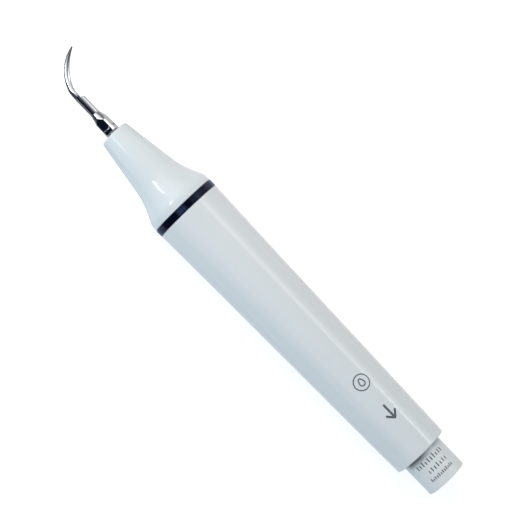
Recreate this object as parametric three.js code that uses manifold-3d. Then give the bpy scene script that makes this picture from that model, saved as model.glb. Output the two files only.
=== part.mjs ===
// Dental ultrasonic scaler handpiece with its scaling tip, built from its separate pieces.
//
// Millimetres. The handpiece axis is X: the tip points along +X and the hose end along -X. +Z is the
// marked side of the handle, and the tip's blade curves towards -Y. The origin is on the axis, on the
// floor of the hose connector's slot, which is flush with the rear rim of the handle.

import * as THREE from 'three';
import { mergeVertices } from 'three/addons/utils/BufferGeometryUtils.js';
import Module from 'manifold-3d';

const wasm = await Module();
wasm.setup();

// ---------------------------------------------------------------- driving dimensions

// outer shape
const HANDLE_LENGTH = 86.8; // rear rim to the handle's front face
const HANDLE_REAR_RADIUS = 7.83;
const HANDLE_FRONT_RADIUS = 9.66;
const RING_WIDTH = 2.0;
const RING_RADIUS = 9.74;
const NOSE_LENGTH = 26.0;
const NOSE_REAR_RADIUS = 9.6;
const NOSE_FRONT_RADIUS = 4.16;
const SEAM = 0.05; // visible seams between handle, ring and nose

// positions along the axis
const HANDLE_FRONT = HANDLE_LENGTH;
const RING_REAR = HANDLE_FRONT + SEAM;
const RING_FRONT = RING_REAR + RING_WIDTH;
const NOSE_REAR = RING_FRONT + SEAM;
const NOSE_FRONT = NOSE_REAR + NOSE_LENGTH;

// hose connector
const STUB_LENGTH = 9.85; // the part of the connector that stands behind the rear rim
const STUB_RADIUS = 5.85;
const SLOT_HALF_WIDTH = 3.2;
const NOZZLE_Z = -2.4; // the water nozzle and the round end of the slot share this centre
const ARM_TIP_RADIUS = 1.0;
const CONTACT_CIRCLE = 3.75;
const CONTACT_ANGLES = [70, 0, -70]; // degrees from +Z towards +Y
const CONTACT_HOLE_RADIUS = 0.89;
const KEY_WIDTH = 2.0;
const KEY_DEPTH = 0.55;
const KEY_LENGTH = 1.5;

// inside of the handle
const REAR_BORE = 5.97; // the connector's seat
const SLEEVE_BORE_REAR = 6.25;
const SLEEVE_BORE_FRONT = 7.35;
const CHASSIS_RADIUS = 7.2;
const CHASSIS_BORE = 5.75;
const CHASSIS_TAIL_RADIUS = 6.1;
const CHASSIS_TAIL_BORE = 5.4;
const CHASSIS_STEP = 47.2; // the step between the wide and the narrow part of the chassis tube
const FLANGE_POCKET = 6.5;
const BUSH_RADIUS = 6.4;
const BUSH_BORE = 4.9;
const BUSH_REAR = 80.6;
const BUSH_FRONT = 94.5;

// transducer
const DRIVER_FACE = 72.0; // rear face of the horn, where the piezo stack starts
const PIEZO_RADIUS = 5.0;
const PIEZO_BORE = 2.4;
const PIEZO_THICKNESS = 2.3;
const PIEZO_COUNT = 4;
const ELECTRODE_THICKNESS = 0.25;
const STACK_GAP = 0.02;
const STACK_PITCH = PIEZO_THICKNESS + ELECTRODE_THICKNESS + 2 * STACK_GAP;
const REAR_MASS_LENGTH = 11;
const FLANGE_REAR = 76.6;
const FLANGE_FRONT = 78.6;
const FLANGE_RADIUS = 6.25;
const HORN_RADIUS = 4.0;
const NECK_RADIUS = 2.1;
const HORN_FRONT = 115.2;
const STUD_RADIUS = 1.35;
const STUD_LENGTH = 3.0;
const WATER_BORE = 0.55;

// scaling tip
const TIP_REAR = HORN_FRONT + 0.1;
const HUB_RADIUS = 2.0;
const COLLAR_LENGTH = 1.25;
const HUB_LENGTH = 4.2; // collar and wrench flats, up to the cone
const WRENCH_HALF_WIDTH = 1.65;
const FLATS_TURN = 22; // degrees that the flats are turned about the axis
const ROD_START = 7.0; // from the tip's rear face
const ROD_RADIUS = 1.29;
const SHOULDER = 12.2; // where the rod steps down to the blade
const BLADE_RADIUS = 0.81;
const BLADE_OFFSET = 0.4; // the blade leaves the shoulder flush with the outer side
const FLANK = 0.41; // how far the start of the blade still reaches on its -Y side
const OVAL_FROM = 0.6; // the blade's section changes from the cut-back rod to an oval between these
const OVAL_TO = 6.5; // distances from the shoulder
const BLADE_STRAIGHT = 2.2;
const BEND_RADII = [4.0, 13.4];
const BEND_ANGLES = [22.7, 69]; // heading of the blade after each bend, in degrees
const BLADE_END_RADIUS = 0.23;
const OUTLET_RADIUS = 0.3;
const OUTLET_Y = -0.85;

const degrees = THREE.MathUtils.degToRad;

// ---------------------------------------------------------------- geometry helpers

// A solid turned about the X axis. Points are [x, radius], from rear to front on an outer surface.
function turned(points, segments) {
  const profile = points.map(([x, radius]) => new THREE.Vector2(radius, x));
  return new THREE.LatheGeometry(profile, segments).rotateZ(-Math.PI / 2);
}

// A hollow turned solid: the outer wall from rear to front, and the inner wall from front to rear.
function turnedTube(outer, inner, segments) {
  return turned([...outer, ...inner, outer[0]], segments);
}

function plainTube(rear, front, radius, bore, segments) {
  return turnedTube([[rear, radius], [front, radius]], [[front, bore], [rear, bore]], segments);
}

function plainRod(rear, front, radius, segments) {
  return turned([[rear, 0], [rear, radius], [front, radius], [front, 0]], segments);
}

// An O-ring around the X axis.
function oRing(x, centreRadius, sectionRadius, segments) {
  return new THREE.TorusGeometry(centreRadius, sectionRadius, 6, segments)
    .rotateY(Math.PI / 2)
    .translate(x, 0, 0);
}

// A flat outline drawn in Y and Z, thickened along +X from the given place.
function slab(shape, rear, depth, curveSegments) {
  const geometry = new THREE.ExtrudeGeometry(shape, { depth, bevelEnabled: false, curveSegments });
  const alongX = new THREE.Matrix4().makeBasis(
    new THREE.Vector3(0, 1, 0),
    new THREE.Vector3(0, 0, 1),
    new THREE.Vector3(1, 0, 0),
  );
  return geometry.applyMatrix4(alongX).translate(rear, 0, 0);
}

// A tube or wire swept along a curve.
function swept(curve, radius, bore, steps, curveSegments) {
  const section = new THREE.Shape().absarc(0, 0, radius, 0, 2 * Math.PI, false);
  if (bore > 0) section.holes.push(new THREE.Path().absarc(0, 0, bore, 0, 2 * Math.PI, true));
  return new THREE.ExtrudeGeometry(section, { steps, extrudePath: curve, curveSegments });
}

function pointsOf(path, divisions) {
  return path.getPoints(divisions).map((point) => [point.x, point.y]);
}

function solidOf(geometry) {
  const bare = geometry.clone();
  bare.deleteAttribute('normal');
  bare.deleteAttribute('uv');
  const merged = mergeVertices(bare, 1e-4);
  const corners = merged.index.array;
  const triangles = [];
  for (let i = 0; i < corners.length; i += 3) {
    const [a, b, c] = [corners[i], corners[i + 1], corners[i + 2]];
    if (a !== b && b !== c && c !== a) triangles.push(a, b, c);
  }
  return new wasm.Manifold(new wasm.Mesh({
    numProp: 3,
    vertProperties: new Float32Array(merged.attributes.position.array),
    triVerts: new Uint32Array(triangles),
  }));
}

function geometryOf(solid) {
  const mesh = solid.getMesh();
  const geometry = new THREE.BufferGeometry();
  geometry.setAttribute('position', new THREE.BufferAttribute(mesh.vertProperties, 3));
  geometry.setIndex(new THREE.BufferAttribute(mesh.triVerts, 1));
  geometry.computeVertexNormals();
  return geometry;
}

function combined(start, { joined = [], removed = [] }) {
  let solid = solidOf(start);
  for (const geometry of joined) solid = solid.add(solidOf(geometry));
  for (const geometry of removed) solid = solid.subtract(solidOf(geometry));
  return geometryOf(solid);
}

function contactCentre(angle) {
  return { y: CONTACT_CIRCLE * Math.sin(degrees(angle)), z: CONTACT_CIRCLE * Math.cos(degrees(angle)) };
}

// ---------------------------------------------------------------- materials

function material(color, roughness, metalness) {
  return new THREE.MeshStandardMaterial({ color, roughness, metalness });
}

const materials = {
  whitePlastic: material(0xd3dde2, 0.3, 0),
  connectorPlastic: material(0xd9dcdf, 0.4, 0),
  navyPlastic: material(0x0c1226, 0.25, 0),
  innerPlastic: material(0xc9b58a, 0.5, 0),
  steel: material(0xc4c8cc, 0.2, 1),
  titanium: material(0xa9abad, 0.35, 1),
  ceramic: material(0x5d5f63, 0.6, 0.2),
  copper: material(0xc98a4b, 0.35, 1),
  gold: material(0xd9a94a, 0.25, 1),
  rubber: material(0x141414, 0.7, 0),
  silicone: material(0xdadada, 0.5, 0),
  liveWire: material(0xb3262a, 0.5, 0),
  returnWire: material(0x20242a, 0.5, 0),
};

// ---------------------------------------------------------------- handle

function handleSleeve() {
  const edge = 0.35;
  const outer = new THREE.Path();
  outer.moveTo(0, HANDLE_REAR_RADIUS - edge);
  outer.quadraticCurveTo(0, HANDLE_REAR_RADIUS, edge, HANDLE_REAR_RADIUS);
  outer.lineTo(HANDLE_FRONT - edge, HANDLE_FRONT_RADIUS);
  outer.lineTo(HANDLE_FRONT, HANDLE_FRONT_RADIUS - edge / 2);
  const stepLength = 0.7;
  const inner = [
    [HANDLE_FRONT, SLEEVE_BORE_FRONT],
    [CHASSIS_STEP - 0.3, SLEEVE_BORE_FRONT],
    [CHASSIS_STEP - 0.3 - stepLength, SLEEVE_BORE_REAR],
    [4.4, SLEEVE_BORE_REAR],
    [4.1, REAR_BORE],
    [0, REAR_BORE],
  ];
  const shell = turnedTube(pointsOf(outer, 3), inner, 40);
  const rooted = 0.4; // how far the key is sunk into the wall
  const key = new THREE.BoxGeometry(KEY_LENGTH, KEY_WIDTH, KEY_DEPTH + rooted)
    .translate(KEY_LENGTH / 2, 0, -(REAR_BORE + (rooted - KEY_DEPTH) / 2));
  return combined(shell, { joined: [key] });
}

function chassisTube() {
  const tailRear = 6.2;
  const outer = [
    [tailRear, CHASSIS_TAIL_RADIUS],
    [CHASSIS_STEP - 0.4, CHASSIS_TAIL_RADIUS],
    [CHASSIS_STEP + 0.4, CHASSIS_RADIUS],
    [86.0, CHASSIS_RADIUS],
  ];
  const inner = [
    [86.0, FLANGE_POCKET],
    [74.6, FLANGE_POCKET],
    [74.6, CHASSIS_BORE],
    [CHASSIS_STEP + 1.2, CHASSIS_BORE],
    [CHASSIS_STEP + 0.4, CHASSIS_TAIL_BORE],
    [tailRear, CHASSIS_TAIL_BORE],
  ];
  return turnedTube(outer, inner, 32);
}

// Threaded bush that traps the transducer's flange and carries the nose cone.
function noseThreadBush() {
  const collarRear = 86.05;
  const collarFront = 86.7;
  const outer = [
    [BUSH_REAR, BUSH_RADIUS],
    [collarRear, BUSH_RADIUS],
    [collarRear, CHASSIS_RADIUS],
    [collarFront, CHASSIS_RADIUS],
    [collarFront, BUSH_RADIUS],
    [BUSH_FRONT - 0.5, BUSH_RADIUS],
    [BUSH_FRONT, BUSH_RADIUS - 0.5],
  ];
  const bush = turnedTube(outer, [[BUSH_FRONT, BUSH_BORE], [BUSH_REAR, BUSH_BORE]], 32);
  const spannerSlot = new THREE.BoxGeometry(2.4, 20, 1.6).translate(BUSH_FRONT, 0, 0);
  return combined(bush, { removed: [spannerSlot] });
}

function decorRing() {
  const edge = 0.12;
  const outer = [
    [RING_REAR, RING_RADIUS - edge],
    [RING_REAR + edge, RING_RADIUS],
    [RING_FRONT - edge, RING_RADIUS],
    [RING_FRONT, RING_RADIUS - edge],
  ];
  return turnedTube(outer, [[RING_FRONT, 6.6], [RING_REAR, 6.6]], 40);
}

function noseCone() {
  const bore = 2.25;
  const outer = new THREE.Path();
  outer.moveTo(NOSE_REAR, NOSE_REAR_RADIUS);
  outer.lineTo(NOSE_REAR + 1.5, NOSE_REAR_RADIUS - 0.05);
  outer.quadraticCurveTo(NOSE_REAR + 2.35, 9.4, NOSE_REAR + 3.2, 8.94); // rounded crown
  outer.quadraticCurveTo(NOSE_REAR + 6.94, 6.955, NOSE_REAR + 11.9, 6.19); // hollow sweep
  outer.lineTo(NOSE_FRONT - 1.0, NOSE_FRONT_RADIUS);
  outer.quadraticCurveTo(NOSE_FRONT - 0.1, 4.03, NOSE_FRONT, 3.55); // rounded front edge
  const threadEnd = NOSE_REAR + 6.2;
  const inner = [
    [NOSE_FRONT, bore],
    [112.1, bore],
    [112.1, 3.12],
    [110.9, 3.12],
    [110.9, bore],
    [109.6, bore],
    [109.4, 2.9],
    [100.0, 4.6],
    [threadEnd + 1.2, 5.5],
    [threadEnd, 6.55],
    [NOSE_REAR, 6.55],
  ];
  return turnedTube(pointsOf(outer, 4), inner, 36);
}

// ---------------------------------------------------------------- hose connector

function slottedOutline() {
  const armY = SLOT_HALF_WIDTH + ARM_TIP_RADIUS;
  const armZ = -Math.sqrt((STUB_RADIUS - ARM_TIP_RADIUS) ** 2 - armY ** 2);
  const armAngle = Math.atan2(armZ, armY);
  const outline = new THREE.Shape();
  outline.absarc(0, 0, STUB_RADIUS, armAngle, Math.PI - armAngle, false);
  outline.absarc(-armY, armZ, ARM_TIP_RADIUS, Math.PI - armAngle, 2 * Math.PI, false);
  outline.absarc(0, NOZZLE_Z, SLOT_HALF_WIDTH, Math.PI, 0, true);
  outline.absarc(armY, armZ, ARM_TIP_RADIUS, Math.PI, 2 * Math.PI + armAngle, false);
  return outline;
}

function connectorCore() {
  const seatLength = 5.6;
  const spigotEnd = 12.0;
  const grooveRear = 2.3;
  const grooveFront = 3.7;
  const seat = turned([
    [0, 0],
    [0, STUB_RADIUS],
    [grooveRear, STUB_RADIUS],
    [grooveRear, 5.0],
    [grooveFront, 5.0],
    [grooveFront, STUB_RADIUS],
    [seatLength, STUB_RADIUS],
    [seatLength, 5.25],
    [spigotEnd, 5.25],
    [spigotEnd, 0],
  ], 36);
  const overlap = 0.5;
  const stub = slab(slottedOutline(), -STUB_LENGTH, STUB_LENGTH + overlap, 14);
  const notch = new THREE.BoxGeometry(2 * (KEY_LENGTH + 0.3), KEY_WIDTH + 0.3, 1.6)
    .translate(0, 0, -(REAR_BORE - KEY_DEPTH - 0.12 + 0.8));
  const nozzleHole = plainRod(-1, spigotEnd + 1, 1.62, 16).translate(0, 0, NOZZLE_Z);
  const holes = CONTACT_ANGLES.map((angle) => {
    const { y, z } = contactCentre(angle);
    return plainRod(-STUB_LENGTH - 1, spigotEnd + 1, CONTACT_HOLE_RADIUS, 12).translate(0, y, z);
  });
  return combined(seat, { joined: [stub], removed: [notch, nozzleHole, ...holes] });
}

function waterNozzle() {
  const radius = 1.5;
  const groove = 0.92;
  const rear = -7.9;
  const body = turned([
    [rear, 0],
    [rear, radius - 0.3],
    [rear + 0.3, radius],
    [-5.8, radius],
    [-5.8, groove],
    [-4.8, groove],
    [-4.8, radius],
    [-3.6, radius],
    [-3.6, groove],
    [-2.6, groove],
    [-2.6, radius],
    [12.0, radius],
    [12.0, 1.0],
    [12.6, 0.62],
    [15.2, 0.62],
    [15.2, 0],
  ], 16);
  const waterBore = plainRod(rear - 1, 16, 0.36, 8);
  const sideHole = plainRod(rear - 1, rear + 2, 0.34, 8).translate(0, 0, 0.95);
  return combined(body, { removed: [waterBore, sideHole] }).translate(0, 0, NOZZLE_Z);
}

function nozzleORing(x) {
  return oRing(x, 1.42, 0.44, 16).translate(0, 0, NOZZLE_Z);
}

function contact(angle) {
  const { y, z } = contactCentre(angle);
  const radius = 0.82;
  const bore = 0.62;
  return turned([
    [0, 0],
    [0, bore],
    [-STUB_LENGTH + 0.15, bore],
    [-STUB_LENGTH + 0.15, radius],
    [12.3, radius],
    [12.3, 0],
  ], 12).translate(0, y, z);
}

// ---------------------------------------------------------------- leads and water supply

function lead(side) {
  const start = contactCentre(side * CONTACT_ANGLES[0]);
  const tabRadius = (PIEZO_RADIUS + CHASSIS_BORE) / 2;
  const curve = new THREE.CatmullRomCurve3([
    new THREE.Vector3(12.6, start.y, start.z),
    new THREE.Vector3(18, start.y * 1.1, start.z),
    new THREE.Vector3(30, side * 4.3, 0.6),
    new THREE.Vector3(44, side * 4.4, 0),
    new THREE.Vector3(50, side * tabRadius, 0),
    new THREE.Vector3(59.4, side * tabRadius, 0),
  ]);
  return swept(curve, 0.27, 0, 16, 4);
}

function waterTube() {
  const rear = 12.9;
  const front = 46.9;
  const reach = 15;
  const curve = new THREE.CubicBezierCurve3(
    new THREE.Vector3(rear, 0, NOZZLE_Z),
    new THREE.Vector3(rear + reach, 0, NOZZLE_Z),
    new THREE.Vector3(front - reach, 0, 0),
    new THREE.Vector3(front, 0, 0),
  );
  return swept(curve, 1.3, 0.8, 10, 4);
}

// ---------------------------------------------------------------- transducer

function stackFront(index) {
  return DRIVER_FACE - STACK_GAP - index * STACK_PITCH;
}

// Ring electrode with a solder tab; live electrodes have it towards +Y and return ones towards -Y.
function electrode(index) {
  const front = stackFront(index);
  const side = index % 2 === 1 ? 1 : -1;
  const tabHalfAngle = 0.16;
  const tabEnd = 5.3;
  const outline = new THREE.Shape();
  const middle = side > 0 ? 0 : Math.PI;
  outline.absarc(0, 0, PIEZO_RADIUS, middle + tabHalfAngle, middle + 2 * Math.PI - tabHalfAngle, false);
  outline.absarc(0, 0, tabEnd, middle - tabHalfAngle, middle + tabHalfAngle, false);
  outline.holes.push(new THREE.Path().absarc(0, 0, PIEZO_BORE, 0, 2 * Math.PI, true));
  return slab(outline, front - ELECTRODE_THICKNESS, ELECTRODE_THICKNESS, 8);
}

function piezoRing(index) {
  const front = stackFront(index) - ELECTRODE_THICKNESS - STACK_GAP;
  return plainTube(front - PIEZO_THICKNESS, front, PIEZO_RADIUS, PIEZO_BORE, 24);
}

// Solder strip over the tabs of the electrodes that share a polarity.
function jumper(side, firstIndex, lastIndex) {
  const front = stackFront(firstIndex);
  const rear = stackFront(lastIndex) - ELECTRODE_THICKNESS;
  return new THREE.BoxGeometry(front - rear, 0.18, 1.2)
    .translate((front + rear) / 2, side * 5.44, 0);
}

const REAR_MASS_FRONT = stackFront(PIEZO_COUNT) - ELECTRODE_THICKNESS - STACK_GAP;
const REAR_MASS_REAR = REAR_MASS_FRONT - REAR_MASS_LENGTH;

function rearMass() {
  return plainTube(REAR_MASS_REAR, REAR_MASS_FRONT, PIEZO_RADIUS, 1.85, 24);
}

function insulatingSleeve() {
  return plainTube(REAR_MASS_FRONT + 0.1, DRIVER_FACE - 0.1, 2.2, 1.8, 16);
}

// Hollow bolt that squeezes the stack; its hex head ends in the water tube's barb.
function preloadBolt() {
  const headFront = REAR_MASS_REAR - STACK_GAP;
  const headRear = headFront - 2.8;
  const barbRear = 43.6;
  const shank = turned([
    [barbRear, 0],
    [barbRear, 0.62],
    [headRear + 0.2, 0.62],
    [headRear + 0.2, 1.6],
    [78.0, 1.6],
    [78.0, 0],
  ], 16);
  const head = plainRod(headRear, headFront, 2.9, 6);
  const waterBore = plainRod(barbRear - 1, 79, 0.4, 8);
  return combined(shank, { joined: [head], removed: [waterBore] });
}

function horn() {
  const sweepStart = 91.5;
  const sweepEnd = 101.5;
  const sweep = (t) => HORN_RADIUS * (NECK_RADIUS / HORN_RADIUS) ** t;
  const exponential = [0.25, 0.5, 0.75].map((t) => [
    sweepStart + t * (sweepEnd - sweepStart),
    sweep(t),
  ]);
  const threadBore = 1.75;
  const threadEnd = 79.0;
  const outer = [
    [DRIVER_FACE, PIEZO_RADIUS],
    [FLANGE_REAR, PIEZO_RADIUS],
    [FLANGE_REAR, FLANGE_RADIUS],
    [FLANGE_FRONT, FLANGE_RADIUS],
    [FLANGE_FRONT, HORN_RADIUS],
    [sweepStart, HORN_RADIUS],
    ...exponential,
    [sweepEnd, NECK_RADIUS],
    [HORN_FRONT, NECK_RADIUS],
    [HORN_FRONT, STUD_RADIUS],
    [HORN_FRONT + STUD_LENGTH - 0.3, STUD_RADIUS],
    [HORN_FRONT + STUD_LENGTH, STUD_RADIUS - 0.3],
  ];
  const inner = [
    [HORN_FRONT + STUD_LENGTH, WATER_BORE],
    [threadEnd, WATER_BORE],
    [threadEnd, threadBore],
    [DRIVER_FACE, threadBore],
  ];
  return turnedTube(outer, inner, 24);
}

// ---------------------------------------------------------------- scaling tip

// Centre line of the blade, in distance along X and Y, from the shoulder to the point.
function bladeCentreLine() {
  const start = new THREE.Vector2(TIP_REAR + SHOULDER - 0.6, BLADE_OFFSET);
  const points = [start.clone()];
  const place = start.clone();
  place.x += 0.6 + BLADE_STRAIGHT;
  place.y -= 0.1;
  points.push(place.clone());
  let heading = 0;
  BEND_RADII.forEach((radius, bend) => {
    const target = degrees(BEND_ANGLES[bend]);
    const steps = Math.ceil((target - heading) / degrees(7));
    const turn = (target - heading) / steps;
    for (let step = 0; step < steps; step += 1) {
      const middle = heading + turn / 2;
      const chord = 2 * radius * Math.sin(turn / 2);
      place.x += chord * Math.cos(middle);
      place.y -= chord * Math.sin(middle);
      points.push(place.clone());
      heading += turn;
    }
  });
  return points;
}

// The blade, as a cylinder whose rings are moved onto the centre line. It starts as the rod with its
// -Y side cut back to a flank, and changes into a tapering oval.
function blade() {
  const line = bladeCentreLine();
  const rings = line.length;
  const sides = 16;
  const rod = ROD_RADIUS - 0.02;
  const lengths = [-0.6];
  for (let ring = 1; ring < rings; ring += 1) {
    lengths.push(lengths[ring - 1] + line[ring].distanceTo(line[ring - 1]));
  }
  const geometry = new THREE.CylinderGeometry(1, 1, 1, sides, rings - 1);
  const position = geometry.attributes.position;
  for (let i = 0; i < position.count; i += 1) {
    const ring = Math.round((position.getY(i) + 0.5) * (rings - 1));
    const before = line[Math.max(ring - 1, 0)];
    const after = line[Math.min(ring + 1, rings - 1)];
    const along = after.clone().sub(before).normalize();
    const progress = Math.max(0, (lengths[ring] - BLADE_STRAIGHT) / (lengths[rings - 1] - BLADE_STRAIGHT));
    const taper = Math.max(0, (progress - 0.35) / 0.65) ** 2;
    const width = THREE.MathUtils.lerp(BLADE_RADIUS, BLADE_END_RADIUS, taper);
    const height = THREE.MathUtils.lerp(BLADE_END_RADIUS, BLADE_RADIUS, (1 - progress) ** 1.2);
    const oval = THREE.MathUtils.smoothstep(lengths[ring], OVAL_FROM, OVAL_TO);
    const across = -position.getX(i);
    const cutBack = Math.max(rod * across, -FLANK) - BLADE_OFFSET;
    const aside = THREE.MathUtils.lerp(cutBack, width * across, oval);
    const up = THREE.MathUtils.lerp(rod, height, oval) * position.getZ(i);
    position.setXYZ(i, line[ring].x - along.y * aside, line[ring].y + along.x * aside, up);
  }
  return geometry;
}

function scalerTip() {
  const hub = turned([
    [TIP_REAR, 0],
    [TIP_REAR, HUB_RADIUS - 0.1],
    [TIP_REAR + 0.1, HUB_RADIUS],
    [TIP_REAR + HUB_LENGTH, HUB_RADIUS],
    [TIP_REAR + ROD_START, ROD_RADIUS],
    [TIP_REAR + SHOULDER, ROD_RADIUS],
    [TIP_REAR + SHOULDER, 0],
  ], 24);
  const flatsLength = ROD_START - COLLAR_LENGTH;
  const cutDepth = 1;
  const flats = [0, 1, 2, 3].map((side) => new THREE.BoxGeometry(flatsLength, 4, cutDepth)
    .translate(TIP_REAR + COLLAR_LENGTH + flatsLength / 2, 0, WRENCH_HALF_WIDTH + cutDepth / 2)
    .rotateX(degrees(FLATS_TURN + 45 + 90 * side)));
  const threadHole = plainRod(TIP_REAR - 1, TIP_REAR + STUD_LENGTH + 0.2, STUD_RADIUS + 0.1, 24);
  const waterway = plainRod(TIP_REAR + 1, TIP_REAR + SHOULDER + 1, OUTLET_RADIUS, 8)
    .translate(0, OUTLET_Y, 0);
  return combined(hub, { joined: [blade()], removed: [...flats, threadHole, waterway] });
}

// ---------------------------------------------------------------- assembly

const scaler = new THREE.Group();

function add(group, name, geometry, look) {
  const mesh = new THREE.Mesh(geometry, look.clone());
  mesh.name = name;
  group.add(mesh);
}

const handle = new THREE.Group();
add(handle, 'handle_sleeve', handleSleeve(), materials.whitePlastic);
add(handle, 'chassis_tube', chassisTube(), materials.innerPlastic);
add(handle, 'nose_thread_bush', noseThreadBush(), materials.steel);
add(handle, 'flange_o_ring_front', oRing(79.6, 5.6, 0.8, 20), materials.rubber);
add(handle, 'flange_o_ring_rear', oRing(75.6, 5.75, 0.68, 20), materials.rubber);
scaler.add(handle);

const connector = new THREE.Group();
add(connector, 'connector_core', connectorCore(), materials.connectorPlastic);
add(connector, 'core_o_ring', oRing(3.0, 5.48, 0.42, 28), materials.rubber);
add(connector, 'water_nozzle', waterNozzle(), materials.steel);
add(connector, 'nozzle_o_ring_rear', nozzleORing(-5.3), materials.rubber);
add(connector, 'nozzle_o_ring_front', nozzleORing(-3.1), materials.rubber);
CONTACT_ANGLES.forEach((angle, index) => {
  add(connector, `contact_${index + 1}`, contact(angle), materials.gold);
});
add(connector, 'live_lead', lead(1), materials.liveWire);
add(connector, 'return_lead', lead(-1), materials.returnWire);
add(connector, 'water_tube', waterTube(), materials.silicone);
scaler.add(connector);

const nose = new THREE.Group();
add(nose, 'decor_ring', decorRing(), materials.navyPlastic);
add(nose, 'nose_cone', noseCone(), materials.whitePlastic);
add(nose, 'nose_o_ring', oRing(111.5, 2.64, 0.45, 20), materials.rubber);
scaler.add(nose);

const transducer = new THREE.Group();
add(transducer, 'horn', horn(), materials.titanium);
for (let index = 0; index <= PIEZO_COUNT; index += 1) {
  add(transducer, `electrode_${index + 1}`, electrode(index), materials.copper);
}
for (let index = 0; index < PIEZO_COUNT; index += 1) {
  add(transducer, `piezo_ring_${index + 1}`, piezoRing(index), materials.ceramic);
}
add(transducer, 'live_jumper', jumper(1, 1, 3), materials.copper);
add(transducer, 'return_jumper', jumper(-1, 0, 4), materials.copper);
add(transducer, 'insulating_sleeve', insulatingSleeve(), materials.innerPlastic);
add(transducer, 'rear_mass', rearMass(), materials.steel);
add(transducer, 'preload_bolt', preloadBolt(), materials.steel);
scaler.add(transducer);

add(scaler, 'scaler_tip', scalerTip(), materials.steel);

export default scaler;
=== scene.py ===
"""Looks of a dental ultrasonic scaler handpiece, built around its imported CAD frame.

Shapes are written in millimetres in the frame's own axes: X runs along the handpiece towards the
tip, +Z is the marked side of the handle, and the tip's blade curves towards -Y.
"""

import math

import bmesh
import bpy
from mathutils import Matrix, Vector


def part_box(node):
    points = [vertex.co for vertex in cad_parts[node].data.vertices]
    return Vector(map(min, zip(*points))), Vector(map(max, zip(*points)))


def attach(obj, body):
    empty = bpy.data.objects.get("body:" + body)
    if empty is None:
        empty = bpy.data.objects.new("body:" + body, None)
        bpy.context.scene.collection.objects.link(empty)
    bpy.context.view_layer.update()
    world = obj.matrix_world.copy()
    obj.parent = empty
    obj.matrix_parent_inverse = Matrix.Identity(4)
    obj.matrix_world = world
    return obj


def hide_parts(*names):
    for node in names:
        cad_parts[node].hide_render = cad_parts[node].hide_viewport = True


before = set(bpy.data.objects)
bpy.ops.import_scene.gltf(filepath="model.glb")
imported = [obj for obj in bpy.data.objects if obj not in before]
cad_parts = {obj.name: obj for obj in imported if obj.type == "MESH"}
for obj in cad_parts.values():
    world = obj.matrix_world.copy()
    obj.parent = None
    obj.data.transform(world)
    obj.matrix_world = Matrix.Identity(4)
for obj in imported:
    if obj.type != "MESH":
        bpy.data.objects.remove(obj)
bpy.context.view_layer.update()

MM = 0.001


def span(node):
    """Lowest and highest corner of a CAD node, in millimetres."""
    low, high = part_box(node)
    return low / MM, high / MM


def reach_of(node):
    """Rear end, front end and top of a CAD node, in millimetres."""
    low, high = span(node)
    return low.x, high.x, high.z


# ---- sizes taken from the frame

HANDLE_REAR, HANDLE_FRONT, HANDLE_FRONT_RADIUS = reach_of("handle_sleeve")
RING_REAR, RING_FRONT, RING_BOX_TOP = reach_of("decor_ring")
RING_RADIUS = RING_BOX_TOP - 0.03
NOSE_REAR, NOSE_FRONT, NOSE_REAR_RADIUS = reach_of("nose_cone")
CORE_REAR, CORE_FRONT, CORE_RADIUS = reach_of("connector_core")
NOZZLE_REAR, NOZZLE_FRONT, NOZZLE_TOP = reach_of("water_nozzle")
NOZZLE_Z = (span("water_nozzle")[0].z + NOZZLE_TOP) / 2
TIP_REAR = span("scaler_tip")[0].x
STUD_FRONT = span("horn")[1].x

# handle
SLEEVE_REAR_RADIUS = 7.83
SLEEVE_BORE_FRONT = 7.35
SLEEVE_BORE_REAR = 6.25
REAR_BORE = 5.97  # the connector's seat
KEY_HALF_WIDTH = 1.0
KEY_DEPTH = 0.55
KEY_LENGTH = 1.5

# nose cone
NOSE_BORE = 2.25
NOSE_THREAD_BORE = 6.55
SEAL_GROOVE_RADIUS = 3.12

# hose connector
SLOT_HALF_WIDTH = 3.2
ARM_TIP_RADIUS = 1.0
SPIGOT_RADIUS = 5.25
CORE_GROOVE_RADIUS = 5.0
NOZZLE_RADIUS = 1.5
NOZZLE_HOLE_RADIUS = 1.62
NOZZLE_GROOVE_RADIUS = 0.92
NOZZLE_GROOVES = ((-5.85, -4.75), (-3.65, -2.55))
CONTACT_CIRCLE = 3.75
CONTACT_ANGLES = (70, 0, -70)
CONTACT_HOLE_RADIUS = 0.89
CONTACT_RADIUS = 0.82
CONTACT_BORE = 0.62

# scaling tip, along its length from its rear face
HUB_RADIUS = 2.0
FLATS_START = 1.2
FLATS_RAMP = 0.34
FLATS_DISTANCE = 1.65
FLATS_TURN = math.radians(22 + 45)
CONE_START = 4.1
CONE_END = 6.5
ROD_RADIUS = 1.27
SHOULDER = 12.2
SHOULDER_ROUND = 0.45
THREAD_HOLE_RADIUS = 1.46

# blade, along its length from the shoulder
BLADE_RADIUS = 0.81
BLADE_END_RADIUS = 0.225
BLADE_OFFSET = 0.4  # its centre line from the axis, towards +Y
BLADE_STRAIGHT = 2.2
BEND_RADII = (4.0, 13.4)
BEND_HEADINGS = (math.radians(22.7), math.radians(69.6))
FLANK = 0.41  # how far the start of the blade still reaches on its -Y side
OVAL_FROM = 0.6  # its section changes from the cut-back rod to an oval
OVAL_TO = 6.5
OUTLET_RADIUS = 0.29

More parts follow.
